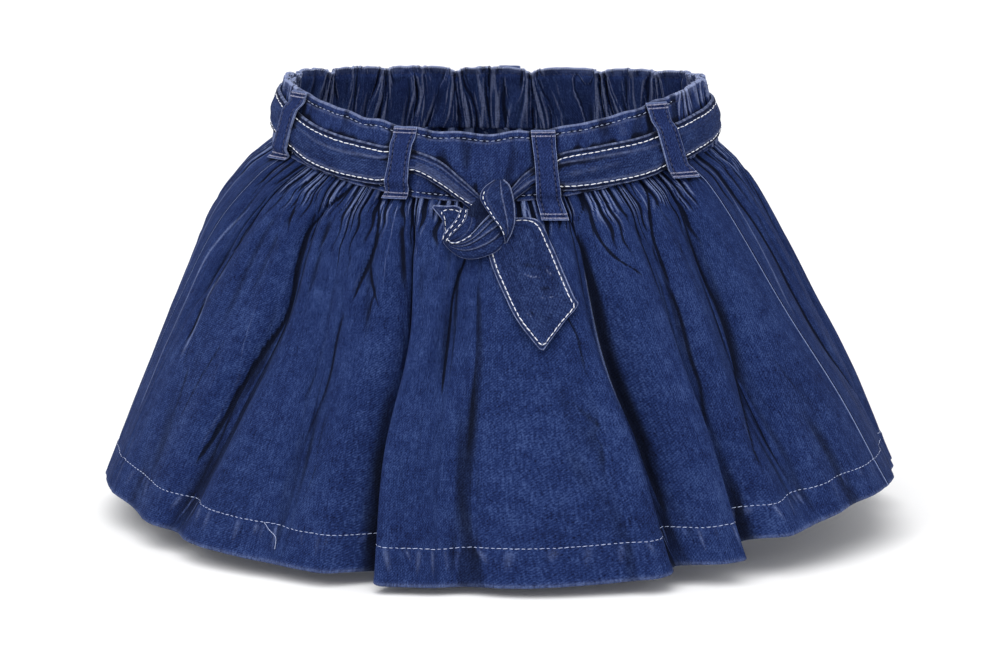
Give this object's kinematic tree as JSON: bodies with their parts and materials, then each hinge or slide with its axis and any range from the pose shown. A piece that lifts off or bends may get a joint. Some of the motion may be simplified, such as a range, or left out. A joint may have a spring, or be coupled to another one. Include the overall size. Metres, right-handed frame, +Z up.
{
  "type": "gathered denim skirt with tie belt",
  "caption": "Flared, gathered denim skirt with a flat front waistband, a ruffled elastic back band, belt loops and a knotted tie belt, filled out as worn.",
  "frame": {"origin": "the middle of the waist, inside the waistband, where the wearer's waist holds the skirt", "axes": "+Z up along the wearer's body, the front faces -Y, +X to the right of someone who looks at the front"},
  "size_m": [0.406, 0.3083, 0.2228],
  "materials": {
    "denim": "mid-blue washed denim, matt twill",
    "denim_band": "mid-blue washed denim, matt twill, worn paler along its edges",
    "denim_trim": "mid-blue washed denim, matt twill, pale topstitching",
    "topstitch": "pale polyester sewing thread"
  },
  "bodies": {
    "root": {"front_panel": "denim", "back_panel": "denim", "front_waistband": "denim_band", "back_waistband": "denim_band", "belt_loop_left_side": "denim_trim", "belt_loop_left_front": "denim_trim", "belt_loop_right_front": "denim_trim", "belt_loop_right_side": "denim_trim", "belt_loop_back": "denim_trim", "belt": "denim_trim", "belt_knot": "denim_trim", "belt_tail_long": "denim_trim", "belt_tail_short": "denim_trim"}
  },
  "joints": []
}
